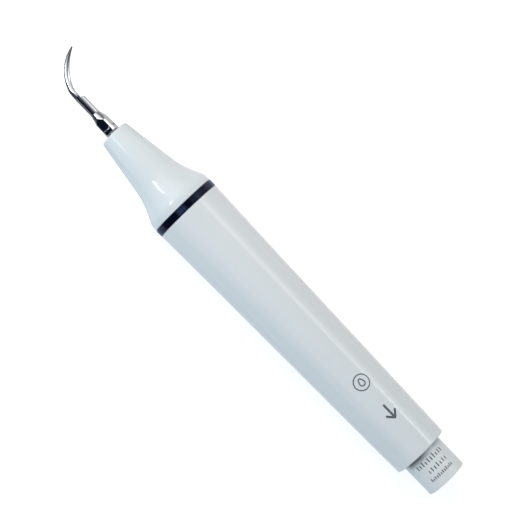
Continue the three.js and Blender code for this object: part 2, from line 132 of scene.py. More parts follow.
# transducer and what holds it
STACK_RADIUS = 5.0
PIEZO_BORE = 2.4
HORN_RADIUS = 4.0
HORN_FRONT = 115.2
NECK_START = 91.5
NECK_SWEEP = 10
NECK_RADIUS = 2.1
FLANGE_REAR = 76.6
FLANGE_FRONT = 78.6
FLANGE_RADIUS = 6.25
STUD_RADIUS = 1.35
STUD_ROOT = 1.12
STUD_PITCH = 0.5
HORN_WATER_BORE = 0.55
BOLT_HOLE_RADIUS = 1.75
BOLT_HOLE_FRONT = 79.0
BUSH_RADIUS = 6.4
BUSH_BORE = 4.9
BUSH_THREAD_ROOT = 6.0
BUSH_THREAD_REAR = 87.35
BUSH_PITCH = 1.0
CHASSIS_RADIUS = 7.2
CHASSIS_TAIL_RADIUS = 6.1
CHASSIS_BORE = 5.75
CHASSIS_TAIL_BORE = 5.4
FLANGE_POCKET = 6.5
FLANGE_POCKET_REAR = 74.6

# camera
CAMERA_DISTANCE = 574
CAMERA_LENS = 152.8
AXIS_TURN = math.radians(46.06)  # of the handpiece in the frame


# ---- profiles and meshes


def arc(centre, start, end, steps):
    """Points from start to end on the short arc round a centre."""
    first, last = start - centre, end - centre
    angle = first.angle(last)
    points = []
    for i in range(steps + 1):
        t = i / steps
        spoke = first * math.sin((1 - t) * angle) + last * math.sin(t * angle)
        points.append(centre + spoke / math.sin(angle))
    return points


def rounded(corners, steps, closed):
    """A profile through corners (x, radius, fillet): each corner with a fillet becomes an arc.

    Straight stretches get a supporting point near each end, so that smooth shading stays flat there.
    """
    support = 0.12
    stretches = []
    count = len(corners)
    for i, (x, radius, fillet) in enumerate(corners):
        here = Vector((x, radius))
        if fillet == 0:
            stretches.append([here])
            continue
        to_before = (Vector(corners[i - 1][:2]) - here).normalized()
        to_after = (Vector(corners[(i + 1) % count][:2]) - here).normalized()
        half = to_before.angle(to_after) / 2
        reach = fillet / math.tan(half)
        centre = here + (to_before + to_after).normalized() * (fillet / math.sin(half))
        stretches.append(arc(centre, here + to_before * reach, here + to_after * reach, steps))
    points = []
    for i, stretch in enumerate(stretches):
        points += stretch
        if i + 1 == count and not closed:
            break
        start, end = stretch[-1], stretches[(i + 1) % count][0]
        length = (end - start).length
        if length > 4 * support:
            along = (end - start) / length
            points.append(start + along * support)
            points.append(end - along * support)
    return points


def circle(x, radius, count, centre=(0, 0)):
    """A loop round the X axis, or round a line parallel to it, starting on the -Z side."""
    y, z = centre
    turns = [2 * math.pi * i / count for i in range(count)]
    return [Vector((x, y + radius * math.sin(a), z - radius * math.cos(a))) for a in turns]


def linked(name, data):
    """A new object in the scene."""
    made = bpy.data.objects.new(name, data)
    bpy.context.scene.collection.objects.link(made)
    return made


class Skin:
    """A closed surface made of loops of points, joined by walls and filled by flat caps."""

    def __init__(self):
        self.bm = bmesh.new()

    def wall(self, loops, wrap=False):
        """Joins each loop to the next, and the last to the first where it wraps."""
        rows = [[self.bm.verts.new(p * MM) for p in loop] for loop in loops]
        if wrap:
            rows.append(rows[0])
        for near, far in zip(rows, rows[1:]):
            for i in range(len(near)):
                k = (i + 1) % len(near)
                self.bm.faces.new((near[i], near[k], far[k], far[i]))

    def merge(self):
        """Joins walls that meet, and closes a wall whose last loop is a single point."""
        bmesh.ops.remove_doubles(self.bm, verts=self.bm.verts, dist=1e-7)
        bmesh.ops.dissolve_degenerate(self.bm, edges=self.bm.edges, dist=1e-8)

    def cap(self, x):
        """Fills the open edges that lie in the plane at x, round any holes."""
        self.merge()
        edges = [
            e for e in self.bm.edges
            if e.is_boundary and all(abs(v.co.x - x * MM) < 1e-7 for v in e.verts)
        ]
        made = bmesh.ops.triangle_fill(self.bm, edges=edges, use_beauty=True)
        for item in made["geom"]:
            if isinstance(item, bmesh.types.BMFace):
                item.tag = True

    def build(self, name, sharp=32):
        """Makes the object: smooth but for its caps and for edges of more than sharp degrees."""
        self.merge()
        bmesh.ops.recalc_face_normals(self.bm, faces=self.bm.faces)
        for face in self.bm.faces:
            face.smooth = not face.tag
        mesh = bpy.data.meshes.new(name)
        self.bm.to_mesh(mesh)
        self.bm.free()
        mesh.set_sharp_from_angle(angle=math.radians(sharp))
        return linked(name, mesh)


def turned(name, corners, count=96, centre=(0, 0), steps=5):
    """A turned piece from corners (x, radius, fillet), outside from rear to front and back inside.

    One that starts on its own axis is closed by its walls alone.
    """
    closed = corners[0][1] > 0
    skin = Skin()
    loops = [circle(p.x, p.y, count, centre) for p in rounded(corners, steps, closed)]
    skin.wall(loops, wrap=closed)
    return skin.build(name)


def dress(piece, body, slot, look, *nodes):
    """Puts a piece on its body, gives it its finish, and lets it stand for its CAD nodes."""
    piece.data.materials.clear()
    piece.data.materials.append(look)
    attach(piece, body)
    if nodes:
        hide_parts(*nodes)
    return piece


def o_ring(name, body, node, x, centre_radius, section, centre=(0, 0)):
    """An O-ring round the X axis, a little flattened where it is squeezed."""
    squeeze = 0.94
    loops = []
    for i in range(24):
        a = 2 * math.pi * i / 24
        radius = centre_radius + section * squeeze * math.cos(a)
        loops.append(circle(x + section * math.sin(a), radius, 96, centre))
    skin = Skin()
    skin.wall(loops, wrap=True)
    dress(skin.build(name, sharp=60), body, "o_ring_rubber", black_rubber, node)


def cut(piece, tool):
    """Cuts a closed tool out of a piece and removes the tool."""
    modifier = piece.modifiers.new("cut", "BOOLEAN")
    modifier.operation = "DIFFERENCE"
    modifier.solver = "EXACT"
    modifier.object = tool
    bpy.context.view_layer.objects.active = piece
    bpy.ops.object.modifier_apply(modifier=modifier.name)
    bpy.data.objects.remove(tool)
    piece.data.set_sharp_from_angle(angle=math.radians(32))


# ---- materials


class Look:
    """A node material on the Principled shader, with patterns laid in the frame's own space."""

    def __init__(self, name):
        self.material = bpy.data.materials.new(name)
        self.material.use_nodes = True
        self.nodes = self.material.node_tree.nodes
        self.links = self.material.node_tree.links
        self.shader = self.nodes["Principled BSDF"]
        self.place = self.nodes.new("ShaderNodeTexCoord").outputs["Object"]

    def set(self, **values):
        """Sets shader inputs by name, with underscores for spaces."""
        for key, value in values.items():
            self.shader.inputs[key.replace("_", " ")].default_value = value
        return self

    def noise(self, size_mm, detail, stretch=(1, 1, 1)):
        """A noise pattern with features of about the given size."""
        mapping = self.nodes.new("ShaderNodeMapping")
        mapping.inputs["Scale"].default_value = [1 / (size_mm * MM * s) for s in stretch]
        self.links.new(self.place, mapping.inputs["Vector"])
        noise = self.nodes.new("ShaderNodeTexNoise")
        noise.inputs["Scale"].default_value = 1.0
        noise.inputs["Detail"].default_value = detail
        self.links.new(mapping.outputs["Vector"], noise.inputs["Vector"])
        return noise.outputs["Fac"]

    def colour(self, fac, dark, light):
        """Mixes the base colour between two tones."""
        mix = self.nodes.new("ShaderNodeMix")
        mix.data_type = "RGBA"
        self.links.new(fac, mix.inputs["Factor"])
        mix.inputs["A"].default_value = (*dark, 1)
        mix.inputs["B"].default_value = (*light, 1)
        self.links.new(mix.outputs["Result"], self.shader.inputs["Base Color"])

    def ramp(self, value, start, end, low=0.0, high=1.0, smooth=False):
        """Maps a value that goes from start to end to one that goes from low to high."""
        ramp = self.nodes.new("ShaderNodeMapRange")
        if smooth:
            ramp.interpolation_type = "SMOOTHSTEP"
        for key, limit in (("From Min", start), ("From Max", end), ("To Min", low), ("To Max", high)):
            ramp.inputs[key].default_value = limit
        self.links.new(value, ramp.inputs["Value"])
        return ramp.outputs["Result"]

    def combine(self, operation, *values):
        """A math operation on sockets and plain numbers."""
        node = self.nodes.new("ShaderNodeMath")
        node.operation = operation
        for socket, value in zip(node.inputs, values):
            if isinstance(value, float):
                socket.default_value = value
            else:
                self.links.new(value, socket)
        return node.outputs["Value"]

    def axes(self):
        """The X, Y and Z of each point, in metres."""
        split = self.nodes.new("ShaderNodeSeparateXYZ")
        self.links.new(self.place, split.inputs["Vector"])
        return split.outputs

    def rough(self, fac, low, high):
        """Varies the roughness between two values."""
        self.links.new(self.ramp(fac, 0.3, 0.7, low, high), self.shader.inputs["Roughness"])

    def bump(self, fac, height_mm):
        """Adds a fine relief."""
        bump = self.nodes.new("ShaderNodeBump")
        bump.inputs["Distance"].default_value = height_mm * MM
        self.links.new(fac, bump.inputs["Height"])
        self.links.new(bump.outputs["Normal"], self.shader.inputs["Normal"])


def plastic(name, dark, light, roughness, peel=0.0006, ior=1.46, tint=(1, 1, 1)):
    """Moulded plastic: faint clouding, a soft orange-peel skin and uneven gloss."""
    look = Look(name).set(IOR=ior, Specular_Tint=(*tint, 1))
    look.colour(look.noise(9, 2), dark, light)
    look.rough(look.noise(3.5, 3), roughness * 0.85, roughness * 1.2)
    look.bump(look.noise(1.1, 1), peel)
    return look.material


def connector_look(name):
    """Off-white moulded plastic, with a painted shadow on one side next to the handle's rim and painted
    shade in its corners.
    """
    look = Look(name).set(IOR=1.46)
    axes = look.axes()
    painted_shadow_mask = None
    # the side with the painted shadow: along each axis, where the painted shadow begins and where it is
    # full
    limits = (("X", -2.3, 0.2), ("Y", -2.6, 1.6), ("Y", 5.9, 4.3), ("Z", 2.0, 3.6))
    for axis, start, end in limits:
        part = look.ramp(axes[axis], start * MM, end * MM, smooth=True)
        painted_shadow_mask = part if painted_shadow_mask is None else look.combine("MULTIPLY", painted_shadow_mask, part)
    # painted shadow of the handle's rim on the block, with a little noise in it
    side = look.combine("MULTIPLY_ADD", look.noise(1.5, 3), 0.05, painted_shadow_mask)
    # painted shade in the block's corners and slot, darker where ambient occlusion is strong
    openness = look.nodes.new("ShaderNodeAmbientOcclusion")
    openness.inputs["Distance"].default_value = 3.2 * MM
    openness.samples = 8
    corners = look.ramp(openness.outputs["AO"], 0.8, 0.3, 0.0, 0.85)
    painted_shade = look.combine("MAXIMUM", side, corners)
    # the second tone is the colour of the painted shadow and shade
    look.colour(painted_shade, (0.685, 0.73, 0.74), (0.06, 0.052, 0.048))
    look.rough(look.noise(2.0, 4), 0.3, 0.45)
    look.bump(look.noise(0.7, 2), 0.002)
    return look.material


def turned_metal(name, dark, light, roughness, groove=0.0015):
    """Turned metal: fine rings round the axis, a little unevenness in tone and gloss."""
    look = Look(name).set(Metallic=1.0)
    look.colour(look.noise(2, 3), dark, light)
    look.rough(look.noise(0.6, 4), roughness * 0.7, roughness * 1.3)
    look.bump(look.noise(0.09, 1, stretch=(1, 60, 60)), groove)
    return look.material


def rubber(name, dark, light, roughness):
    """Matt and grainy: seals, silicone, ceramic and printing ink."""
    look = Look(name).set(IOR=1.5, Specular_IOR_Level=0.3)
    look.colour(look.noise(0.8, 3), dark, light)
    look.rough(look.noise(0.4, 4), roughness * 0.85, roughness * 1.15)
    look.bump(look.noise(0.12, 3), 0.004)
    return look.material


def tip_metal(name):
    """Polished steel whose working end has dulled and darkened with use."""
    look = Look(name).set(Metallic=1.0)
    worn = look.ramp(look.axes()["Y"], -1.6 * MM, -6.8 * MM, smooth=True)
    tone = look.combine("MULTIPLY_ADD", look.noise(1.2, 3), 0.18, worn)
    look.colour(tone, (0.74, 0.74, 0.77), (0.2, 0.2, 0.225))
    look.rough(look.noise(0.5, 4), 0.05, 0.11)
    look.bump(look.noise(0.1, 1, stretch=(1, 50, 50)), 0.0002)
    return look.material


white_plastic = plastic("white_plastic", (0.635, 0.685, 0.71), (0.655, 0.70, 0.722), 0.2)
nose_plastic = plastic("nose_plastic", (0.625, 0.688, 0.723), (0.64, 0.703, 0.733), 0.08)
connector_plastic = connector_look("connector_plastic")
navy_plastic = plastic(
    "navy_plastic", (0.001, 0.002, 0.009), (0.002, 0.0035, 0.013), 0.18, ior=1.33, tint=(0.65, 0.8, 1.0))
peek_plastic = plastic("peek_plastic", (0.45, 0.36, 0.2), (0.52, 0.42, 0.25), 0.5, 0.004)
tip_steel = tip_metal("tip_steel")
turned_steel = turned_metal("turned_steel", (0.5, 0.51, 0.52), (0.62, 0.62, 0.63), 0.28)
nozzle_steel = turned_metal("nozzle_steel", (0.62, 0.62, 0.62), (0.74, 0.74, 0.73), 0.14, 0.0008)
titanium = turned_metal("titanium", (0.36, 0.36, 0.37), (0.46, 0.45, 0.45), 0.32)
gold = turned_metal("gold", (0.72, 0.43, 0.16), (0.86, 0.58, 0.26), 0.2, 0.0006)
copper = turned_metal("copper", (0.6, 0.32, 0.14), (0.72, 0.42, 0.2), 0.3, 0.001)
ceramic = rubber("ceramic", (0.16, 0.165, 0.175), (0.24, 0.245, 0.255), 0.55)
black_rubber = rubber("black_rubber", (0.004, 0.004, 0.005), (0.010, 0.010, 0.011), 0.35)
silicone = rubber("silicone", (0.6, 0.6, 0.58), (0.7, 0.7, 0.68), 0.4)
red_wire = plastic("red_wire", (0.4, 0.015, 0.015), (0.5, 0.03, 0.03), 0.4)
black_wire = plastic("black_wire", (0.012, 0.012, 0.014), (0.025, 0.025, 0.028), 0.4)
print_ink = rubber("print_ink", (0.075, 0.085, 0.11), (0.11, 0.12, 0.15), 0.5)


# ---- handle, ring and nose


def keyed_circle(x, radius, depth, count):
    """A circle whose -Z side carries a flat-sided key or notch that reaches inwards by depth."""
    edge = math.asin(KEY_HALF_WIDTH / radius)
    points = []
    for i in range(count + 1):
        a = edge + (2 * math.pi - 2 * edge) * i / count
        points.append(Vector((x, radius * math.sin(a), -radius * math.cos(a))))
    floor = radius - depth
    floor_edge = math.asin(KEY_HALF_WIDTH / floor)
    for i in range(7):
        a = -floor_edge + 2 * floor_edge * i / 6
        points.append(Vector((x, floor * math.sin(a), -floor * math.cos(a))))
    return points


def handle_outline():
    """Corners of the handle's outer wall, from the rear rim to the front face."""
    return [
        (HANDLE_REAR, SLEEVE_REAR_RADIUS, 0.3),
        (HANDLE_REAR + 66, 9.13, 400),
        (HANDLE_FRONT, HANDLE_FRONT_RADIUS, 0.16),
    ]


def handle_radius(x):
    """Outer radius of the handle at a place along it, between the rounded rims."""
    rear, middle, front = handle_outline()
    a, b = (rear, middle) if x < middle[0] else (middle, front)
    return a[1] + (b[1] - a[1]) * (x - a[0]) / (b[0] - a[0])


def make_handle():
    """The tapered sleeve, with a stepped bore and a key inside its rear rim."""
    count = 120
    inner = [
        (HANDLE_FRONT, SLEEVE_BORE_FRONT, 0.1),
        (46.9, SLEEVE_BORE_FRONT, 0),
        (46.2, SLEEVE_BORE_REAR, 0),
        (4.4, SLEEVE_BORE_REAR, 0),
        (4.1, REAR_BORE, 0),
        (KEY_LENGTH + 0.001, REAR_BORE, 0),
    ]
    shell = rounded(handle_outline() + inner + [(HANDLE_REAR, REAR_BORE, 0.12)], 8, True)
    loops = []
    in_key = False
    for p in shell:
        keyed = p.x <= KEY_LENGTH + 0.002 and p.y <= REAR_BORE + 0.13
        if keyed and not in_key:
            loops.append(keyed_circle(KEY_LENGTH, REAR_BORE, 0, count))
            loops.append(keyed_circle(KEY_LENGTH, REAR_BORE, KEY_DEPTH, count))
        in_key = keyed
        depth = KEY_DEPTH + (p.y - REAR_BORE) * 0.2 if keyed else 0
        loops.append(keyed_circle(p.x, p.y, depth, count))
    skin = Skin()
    skin.wall(loops, wrap=True)
    dress(skin.build("handle_shell"), "handle", "white_plastic", white_plastic, "handle_sleeve")


def make_ring():
    bore = 6.6
    corners = [
        (RING_REAR, bore, 0.08), (RING_REAR, RING_RADIUS, 0.18),
        (RING_FRONT, RING_RADIUS, 0.18), (RING_FRONT, bore, 0.08),
    ]
    dress(turned("ring_band", corners, 128), "ring", "navy_plastic", navy_plastic, "decor_ring")


def make_nose():
    """The nose cone: crown, hollow sweep and cone outside, seal groove and thread bore inside."""
    corners = [
        (NOSE_REAR, NOSE_REAR_RADIUS, 0.16),
        (NOSE_REAR + 2.0, 9.58, 4.0),
        (NOSE_REAR + 7.12, 6.88, 23),
        (NOSE_FRONT, 4.08, 0.75), (NOSE_FRONT, NOSE_BORE, 0.2),
        (NOSE_FRONT - 2.8, NOSE_BORE, 0), (NOSE_FRONT - 2.8, SEAL_GROOVE_RADIUS, 0),
        (NOSE_FRONT - 4.0, SEAL_GROOVE_RADIUS, 0), (NOSE_FRONT - 4.0, NOSE_BORE, 0),
        (NOSE_FRONT - 5.3, NOSE_BORE, 0),
        (NOSE_FRONT - 5.5, 2.9, 0),
        (NOSE_REAR + 11.1, 4.6, 0),
        (NOSE_REAR + 7.4, 5.5, 0),
        (NOSE_REAR + 6.2, NOSE_THREAD_BORE, 0),
        (NOSE_REAR, NOSE_THREAD_BORE, 0.1),
    ]
    shell = turned("nose_shell", corners, 128, steps=10)
    dress(shell, "nose", "white_plastic", nose_plastic, "nose_cone")
    o_ring("nose_seal", "nose", "nose_o_ring", NOSE_FRONT - 3.4, 2.64, 0.44)


# ---- hose connector


def contact_place(angle):
    """Y and Z of a contact at an angle from straight up towards +Y."""
    turn = math.radians(angle)
    return CONTACT_CIRCLE * math.sin(turn), CONTACT_CIRCLE * math.cos(turn)


def arc_loop(x, centre, radius, start, end, count):
    """Points on an arc in the plane at x, between angles measured from +Y towards +Z."""
    turns = [start + (end - start) * i / count for i in range(count + 1)]
    y, z = centre
    return [Vector((x, y + radius * math.cos(a), z + radius * math.sin(a))) for a in turns]


ARM_Y = SLOT_HALF_WIDTH + ARM_TIP_RADIUS
ARM_Z = -math.sqrt((CORE_RADIUS - ARM_TIP_RADIUS) ** 2 - ARM_Y ** 2)
ARM_TURN = math.atan2(ARM_Z, ARM_Y)


def closed_side(x, radius):
    """The long arc of the block, away from its slot."""
    return arc_loop(x, (0, 0), radius, ARM_TURN, math.pi - ARM_TURN, 96)


def slotted_loop(x, inset):
    """Outline of the slotted block, drawn in by an inset."""
    tip = ARM_TIP_RADIUS - inset
    points = closed_side(x, CORE_RADIUS - inset)
    points += arc_loop(x, (-ARM_Y, ARM_Z), tip, math.pi - ARM_TURN, 2 * math.pi, 16)[1:]
    points += arc_loop(x, (0, NOZZLE_Z), SLOT_HALF_WIDTH + inset, math.pi, 0, 48)
    points += arc_loop(x, (ARM_Y, ARM_Z), tip, math.pi, 2 * math.pi + ARM_TURN, 16)[:-1]
    return points


def seat_loop(x, radius, notch):
    """Outline of the seat behind the block: a full circle with a notch for the handle's key."""
    half = KEY_HALF_WIDTH + 0.13
    down = 2 * math.pi - math.pi / 2
    edge = math.asin(half / radius)
    floor = radius - notch
    floor_edge = math.asin(half / floor)
    points = closed_side(x, radius)
    points += arc_loop(x, (0, 0), radius, math.pi - ARM_TURN, down - edge, 16)[1:]
    points += arc_loop(x, (0, 0), floor, down - floor_edge, down + floor_edge, 6)
    points += arc_loop(x, (0, 0), radius, down + edge, 2 * math.pi + ARM_TURN, 16)[:-1]
    return points


def make_connector():
    """The slotted block, its keyed seat in the handle and the spigot in front of the seat."""
    edge = 0.18
    steps = 8
    notch = KEY_DEPTH + 0.12
    skin = Skin()
    loops = []
    for i in range(steps + 1):
        a = math.pi / 2 * i / steps
        loops.append(slotted_loop(CORE_REAR + edge * (1 - math.cos(a)), edge * (1 - math.sin(a))))
    loops += [slotted_loop(x, 0) for x in (CORE_REAR + edge + 0.15, -0.15, 0)]
    skin.wall(loops)
    seat = [
        (0, CORE_RADIUS, notch), (KEY_LENGTH + 0.3, CORE_RADIUS, notch),
        (KEY_LENGTH + 0.3, CORE_RADIUS, 0), (2.3, CORE_RADIUS, 0),
        (2.3, CORE_GROOVE_RADIUS, 0), (3.7, CORE_GROOVE_RADIUS, 0),
        (3.7, CORE_RADIUS, 0), (5.6, CORE_RADIUS, 0),
        (5.6, SPIGOT_RADIUS, 0), (CORE_FRONT, SPIGOT_RADIUS, 0),
    ]
    skin.wall([seat_loop(*station) for station in seat])
    contact_hole = [
        (CORE_REAR, 1.0), (CORE_REAR + 0.03, 0.93),
        (CORE_REAR + 0.1, CONTACT_HOLE_RADIUS), (CORE_FRONT, CONTACT_HOLE_RADIUS),
    ]
    for angle in CONTACT_ANGLES:
        skin.wall([circle(x, r, 40, contact_place(angle)) for x, r in contact_hole])
    skin.wall([circle(x, NOZZLE_HOLE_RADIUS, 40, (0, NOZZLE_Z)) for x in (0, CORE_FRONT)])
    for x in (CORE_REAR, 0, CORE_FRONT):
        skin.cap(x)
    block = skin.build("connector_block")
    dress(block, "handle", "connector_plastic", connector_plastic, "connector_core")


def keyhole(x, centre, radius, slit_half_width, reach, turn):
    """A round hole with a narrow slit running out of it, in the plane at x."""
    edge = math.asin(slit_half_width / radius)
    points = []
    for i in range(33):
        a = edge + (2 * math.pi - 2 * edge) * i / 32
        points.append(Vector((radius * math.cos(a), radius * math.sin(a))))
    points += [Vector((reach, -slit_half_width)), Vector((reach, slit_half_width))]
    c, s = math.cos(turn), math.sin(turn)
    return [Vector((x, centre[0] + c * p.x - s * p.y, centre[1] + s * p.x + c * p.y)) for p in points]


def make_nozzle():
    """The water nozzle: seal grooves, a keyhole and a round hole in its end face, and its bore."""
    rim = NOZZLE_RADIUS
    seat = (0, NOZZLE_Z)
    corners = [(NOZZLE_REAR, rim - 0.02, 0), (NOZZLE_REAR, rim, 0.3)]
    for rear, front in NOZZLE_GROOVES:
        corners += [
            (rear, rim, 0.08), (rear, NOZZLE_GROOVE_RADIUS, 0.05),
            (front, NOZZLE_GROOVE_RADIUS, 0.05), (front, rim, 0.08),
        ]
    corners += [
        (CORE_FRONT, rim, 0.1), (CORE_FRONT, 1.0, 0),
        (CORE_FRONT + 0.6, 0.62, 0),
        (NOZZLE_FRONT - 0.4, 0.62, 0.1),
        (NOZZLE_FRONT, 0.5, 0),
    ]
    profile = rounded(corners, 6, False)[1:]
    skin = Skin()
    skin.wall([circle(p.x, p.y, 64, seat) for p in profile])
    depth = NOZZLE_REAR + 2.4
    bore = (0, NOZZLE_Z + 0.02)
    lower = {"centre": (-0.12, NOZZLE_Z - 0.44), "radius": 0.5}
    lower.update(slit_half_width=0.08, reach=1.1, turn=math.radians(-8))
    skin.wall([keyhole(NOZZLE_REAR, **lower), keyhole(depth, **lower)])
    upper = (0.24, NOZZLE_Z + 0.72)
    skin.wall([circle(NOZZLE_REAR, 0.41, 32, upper), circle(depth, 0.41, 32, upper)])
    skin.wall([circle(depth + 0.4, 0.36, 32, bore), circle(NOZZLE_FRONT, 0.36, 32, bore)])
    for x in (NOZZLE_REAR, depth, depth + 0.4, NOZZLE_FRONT):
        skin.cap(x)
    dress(skin.build("nozzle_body"), "handle", "nozzle_steel", nozzle_steel, "water_nozzle")
    nodes = ("nozzle_o_ring_rear", "nozzle_o_ring_front")
    for number, (node, (rear, front)) in enumerate(zip(nodes, NOZZLE_GROOVES), 1):
        o_ring(f"nozzle_seal_{number}", "handle", node, (rear + front) / 2, 1.42, 0.46, seat)


def make_contacts():
    """Blind sockets with a small funnel, sunk a little below the block's end face."""
    for number, angle in enumerate(CONTACT_ANGLES, 1):
        corners = [
            (0.0, 0.0, 0), (0.0, CONTACT_BORE, 0.05),
            (CORE_REAR + 0.45, CONTACT_BORE, 0.08),
            (CORE_REAR + 0.2, 0.77, 0.03), (CORE_REAR + 0.2, CONTACT_RADIUS, 0.03),
            (CORE_FRONT + 0.3, CONTACT_RADIUS, 0.1), (CORE_FRONT + 0.3, 0.0, 0),
        ]
        socket = turned(f"contact_socket_{number}", corners, 48, contact_place(angle))
        dress(socket, "handle", "gold", gold, f"contact_{number}")


# ---- scaling tip


def hub_radius(x):
    """Round outline of the hub and rod, before the wrench flats are cut."""
    if x <= CONE_START:
        return HUB_RADIUS
    if x >= CONE_END:
        return ROD_RADIUS
    t = (x - CONE_START) / (CONE_END - CONE_START)
    fall = t + 0.16 * math.sin(math.pi * t) * (1 - t)
    return HUB_RADIUS + (ROD_RADIUS - HUB_RADIUS) * fall


def flat_distance(x):
    """Distance of the wrench flats from the axis, or None where there are none."""
    if x <= FLATS_START:
        return None
    ramp = max(0.0, 1 - (x - FLATS_START) / FLATS_RAMP)
    return FLATS_DISTANCE + (HUB_RADIUS - FLATS_DISTANCE) * ramp


def soft_smaller(a, b, softness=0.012):
    """The smaller of two lengths, rounded off where they are nearly equal."""
    return -softness * math.log(math.exp(-a / softness) + math.exp(-b / softness))


def hub_ring(x, count):
    """One loop of the hub, x being measured from the tip's rear face."""
    radius, distance = hub_radius(x), flat_distance(x)
    points = []
    for i in range(count):
        a = 2 * math.pi * i / count
        r = radius
        if distance is not None:
            away = max(abs(math.cos(a - FLATS_TURN)), abs(math.sin(a - FLATS_TURN)))
            r = soft_smaller(radius, distance / away)
        points.append(Vector((TIP_REAR + x, -r * math.sin(a), r * math.cos(a))))
    return points


def blade_line():
    """Centre points and headings of the blade, from the shoulder to the point."""
    place = Vector((TIP_REAR + SHOULDER, BLADE_OFFSET))
    stations = []
    for i in range(9):
        t = i / 8
        stations.append((place + Vector((BLADE_STRAIGHT * t, -0.1 * t * t)), 0.0))
    place = stations[-1][0].copy()
    heading = 0.0
    for radius, target in zip(BEND_RADII, BEND_HEADINGS):
        steps = max(4, round(math.degrees(target - heading) / 1.6))
        turn = (target - heading) / steps
        chord = 2 * radius * math.sin(turn / 2)
        for _ in range(steps):
            middle = heading + turn / 2
            place = place + Vector((chord * math.cos(middle), -chord * math.sin(middle)))
            heading += turn
            stations.append((place.copy(), heading))
    return stations


def blade_ring(place, heading, width, height, count, flank=None, oval=1.0):
    """One loop of the blade: the rod with its -Y side cut back to a flank, changing into an oval."""
    sideways = Vector((math.sin(heading), math.cos(heading), 0))
    centre = Vector((place.x, place.y, 0))
    points = []
    for i in range(count):
        a = 2 * math.pi * i / count
        aside, up = -width * math.sin(a), height * math.cos(a)
        if oval < 1:
            cut_back = -soft_smaller(ROD_RADIUS * math.sin(a), flank, 0.06)
            aside = aside * oval + (cut_back - BLADE_OFFSET) * (1 - oval)
            up = up * oval + ROD_RADIUS * math.cos(a) * (1 - oval)
        points.append(centre + sideways * aside + Vector((0, 0, up)))
    return points


def eased(value, start, end):
    """Goes smoothly from 0 at start to 1 at end."""
    t = min(1.0, max(0.0, (value - start) / (end - start)))
    return t * t * (3 - 2 * t)


def blade_width(progress):
    """Half width of the blade in the plane of its bend."""
    taper = max(0.0, (progress - 0.35) / 0.65) ** 2
    return BLADE_RADIUS + (BLADE_END_RADIUS - BLADE_RADIUS) * taper


def blade_height(progress):
    """Half height of the blade across the plane of its bend."""
    fall = (1 - min(1.0, max(0.0, progress))) ** 1.2
    return BLADE_END_RADIUS * 0.88 + (BLADE_RADIUS - BLADE_END_RADIUS * 0.88) * fall


def hub_loops(count, bore):
    """Loops from the end of the blind thread hole, out over the rear face and along the hub."""
    inside = [
        (bore + 0.3, 0.0), (bore, 1.45), (bore - 0.2, THREAD_HOLE_RADIUS), (0.25, THREAD_HOLE_RADIUS),
        (0.0, 1.62), (0.0, 1.86),
    ]
    loops = [circle(TIP_REAR + x, r, count) for x, r in inside]
    loops = [[Vector((p.x, -p.y, -p.z)) for p in loop] for loop in loops]
    stations = [0.03, 0.14, 0.3, 0.7, FLATS_START - 0.12, FLATS_START - 0.02]
    stations += [FLATS_START + FLATS_RAMP * i / 6 for i in range(1, 7)]
    stations += [FLATS_START + FLATS_RAMP + 0.1, 2.2, 3.0, 3.7]
    stations += [CONE_START + (CONE_END - CONE_START) * i / 36 for i in range(37)]
    stations += [CONE_END + 0.15, 8.0, 9.5, 11.0, SHOULDER - SHOULDER_ROUND]
    for x in stations:
        ring = hub_ring(x, count)
        if x < 0.14:
            ring = [Vector((p.x, p.y * 0.975, p.z * 0.975)) for p in ring]
        loops.append(ring)
    return loops


def blade_loops(count):
    """Loops from the rounded shoulder, along the bent and tapered blade, to its rounded end."""
    line = blade_line()
    lengths = [0.0]
    for (before, _), (after, _) in zip(line, line[1:]):
        lengths.append(lengths[-1] + (after - before).length)
    loops = []
    for i in range(1, 11):
        a = math.pi / 2 * i / 10
        place = Vector((TIP_REAR + SHOULDER - SHOULDER_ROUND * (1 - math.sin(a)), BLADE_OFFSET))
        flank = FLANK + (ROD_RADIUS + 0.2 - FLANK) * math.cos(a)
        loops.append(blade_ring(place, 0, BLADE_RADIUS, BLADE_RADIUS, count, flank, 0.0))
    for (place, heading), length in zip(line[1:], lengths[1:]):
        progress = (length - BLADE_STRAIGHT) / (lengths[-1] - BLADE_STRAIGHT)
        width, height = blade_width(progress), blade_height(progress)
        oval = eased(length, OVAL_FROM, OVAL_TO)
        loops.append(blade_ring(place, heading, width, height, count, FLANK, oval))
    end, heading = line[-1]
    for i in range(1, 7):
        a = math.pi / 2 * i / 6
        width = BLADE_END_RADIUS * max(math.cos(a), 0.0)
        ahead = Vector((math.cos(heading), -math.sin(heading))) * (BLADE_END_RADIUS * math.sin(a))
        loops.append(blade_ring(end + ahead, heading, width, width * 0.88, count))
    return loops


def make_tip():
    """The scaling tip, with its water outlet drilled from the thread hole to the shoulder."""
    count = 192
    bore = STUD_FRONT - TIP_REAR + 0.35
    skin = Skin()
    skin.wall(hub_loops(count, bore) + blade_loops(count))
    tip = skin.build("tip_body", sharp=40)
    outlet = turned("outlet_drill", [
        (TIP_REAR + bore - 0.5, 0, 0), (TIP_REAR + bore - 0.5, OUTLET_RADIUS, 0),
        (TIP_REAR + SHOULDER + 0.6, OUTLET_RADIUS, 0), (TIP_REAR + SHOULDER + 0.6, 0, 0),
    ], 32, (-0.86, 0))
    cut(tip, outlet)
    dress(tip, "tip", "tip_steel", tip_steel, "scaler_tip")


# ---- inside


